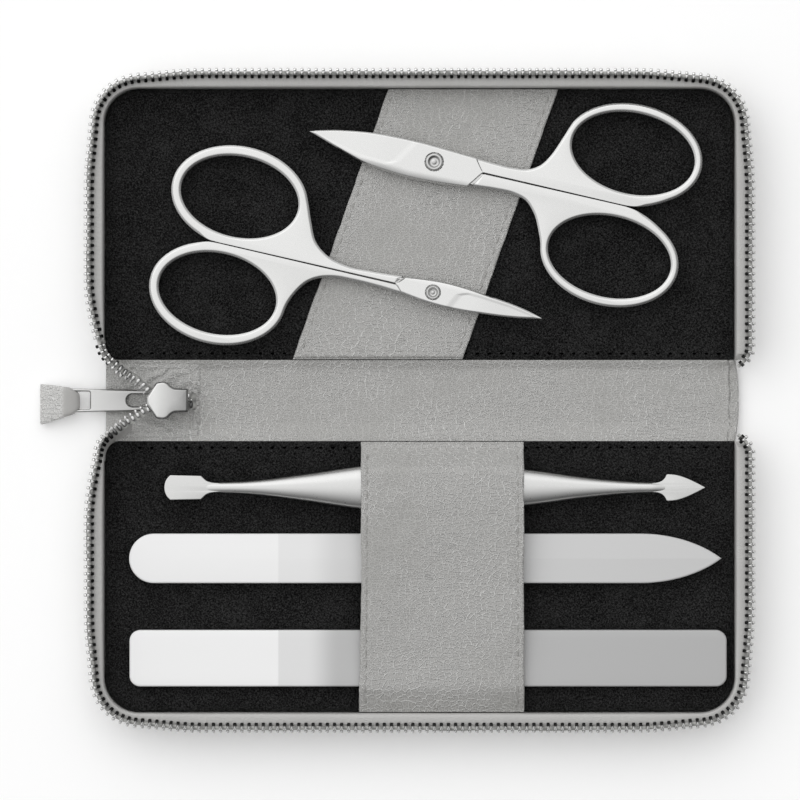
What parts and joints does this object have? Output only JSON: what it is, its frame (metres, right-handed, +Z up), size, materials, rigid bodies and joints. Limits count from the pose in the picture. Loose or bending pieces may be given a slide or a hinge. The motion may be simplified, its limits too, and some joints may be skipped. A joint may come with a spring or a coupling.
{
  "type": "manicure set case",
  "caption": "Open zip-around manicure case: two halves folding on a flat spine, held by a curved zip, with scissors on a slanted band and files and a pusher under an arched band.",
  "frame": {"origin": "centre of the resting face, under the middle of the spine", "axes": "+X along the spine to the right (away from the pull), +Y over the upper half, +Z up"},
  "size_m": [0.1663, 0.154, 0.011],
  "materials": {
    "grey_leather": "grained, satin",
    "black_suede": "napped",
    "grey_board": "plain fibre board",
    "zip_fabric": "woven tape",
    "zip_metal": "polished",
    "bright_metal": "polished",
    "satin_steel": "fine satin",
    "magnet": "plain",
    "white_glass": "white, opaque, part frosted"
  },
  "bodies": {
    "lower_half": {"lower_cover": "grey_leather", "lower_board": "grey_board", "lower_lining": "black_suede", "lower_zip_wall": "grey_leather", "lower_zip_tape": "zip_fabric", "lower_zip_teeth": "zip_metal", "lower_top_stop": "zip_metal", "lower_band": "grey_leather"},
    "spine": {"spine_cover": "grey_leather", "spine_facing": "grey_leather", "zip_end_patch": "grey_leather", "zip_tail": "zip_metal", "zip_lead_lower": "zip_fabric", "zip_lead_upper": "zip_fabric"},
    "upper_half": {"upper_cover": "grey_leather", "upper_board": "grey_board", "upper_lining": "black_suede", "upper_zip_wall": "grey_leather", "upper_zip_tape": "zip_fabric", "upper_zip_teeth": "zip_metal", "upper_top_stop": "zip_metal", "upper_band": "grey_leather", "scissor_magnets": "magnet"},
    "slider": {"slider_body": "bright_metal"},
    "pull_link": {"pull_link": "bright_metal"},
    "pull_tab": {"pull_tab": "grey_leather"},
    "nail_scissors": {"nail_scissors_top_half": "satin_steel", "nail_scissors_screw": "bright_metal"},
    "nail_scissors_lever": {"nail_scissors_under_half": "satin_steel"},
    "cuticle_scissors": {"cuticle_scissors_under_half": "satin_steel", "cuticle_scissors_screw": "bright_metal"},
    "cuticle_scissors_lever": {"cuticle_scissors_top_half": "satin_steel"},
    "cuticle_pusher": {"cuticle_pusher": "satin_steel"},
    "pointed_file": {"pointed_file": "white_glass"},
    "straight_file": {"straight_file": "white_glass"}
  },
  "joints": [
    {"name": "lower_fold", "type": "hinge", "parent": "lower_half", "child": "spine", "pos_m": [0, -0.0092, 0.0012], "axis": [1, 0, 0], "range_deg": [0, 90], "deforming": ["zip_lead_lower"]},
    {"name": "upper_fold", "type": "hinge", "parent": "spine", "child": "upper_half", "pos_m": [0, 0.0092, 0.0012], "axis": [1, 0, 0], "range_deg": [0, 90], "deforming": ["zip_lead_upper"]},
    {"name": "slider_travel", "type": "slide", "parent": "spine", "child": "slider", "axis": [-1, 0, 0], "range_m": [0, 0.004]},
    {"name": "pull_swing", "type": "hinge", "parent": "slider", "child": "pull_link", "pos_m": [-0.05954, 0, 0.004], "axis": [0, -1, 0], "range_deg": [-6, 0]},
    {"name": "tab_swing", "type": "hinge", "parent": "pull_link", "child": "pull_tab", "pos_m": [-0.08195, 0, 0.00306], "axis": [0, -1, 0], "range_deg": [-100, 0]},
    {"name": "nail_scissors_lift", "type": "slide", "parent": "upper_half", "child": "nail_scissors", "axis": [0, 0, -1], "range_m": [-0.04, 0]},
    {"name": "nail_scissors_open", "type": "hinge", "parent": "nail_scissors", "child": "nail_scissors_lever", "pos_m": [0.0034, 0.0554, 0.0058], "axis": [0, 0, -1], "range_deg": [0, 45]},
    {"name": "cuticle_scissors_lift", "type": "slide", "parent": "upper_half", "child": "cuticle_scissors", "axis": [0, 0, -1], "range_m": [-0.03, 0]},
    {"name": "cuticle_scissors_open", "type": "hinge", "parent": "cuticle_scissors", "child": "cuticle_scissors_lever", "pos_m": [0.0031, 0.0251, 0.0058], "axis": [0, 0, 1], "range_deg": [0, 45]},
    {"name": "cuticle_pusher_slide", "type": "slide", "parent": "lower_half", "child": "cuticle_pusher", "axis": [1, 0, 0], "range_m": [-0.005, 0.005]},
    {"name": "pointed_file_slide", "type": "slide", "parent": "lower_half", "child": "pointed_file", "axis": [1, 0, 0], "range_m": [-0.005, 0.0025]},
    {"name": "straight_file_slide", "type": "slide", "parent": "lower_half", "child": "straight_file", "axis": [1, 0, 0], "range_m": [-0.005, 0.0015]}
  ],
  "couplings": [
    {"joint": "upper_fold", "follows": "lower_fold", "ratio": 1},
    {"joint": "nail_scissors_open", "follows": "nail_scissors_lift", "rad_per_m": -19.63},
    {"joint": "cuticle_scissors_open", "follows": "cuticle_scissors_lift", "rad_per_m": -26.17}
  ]
}
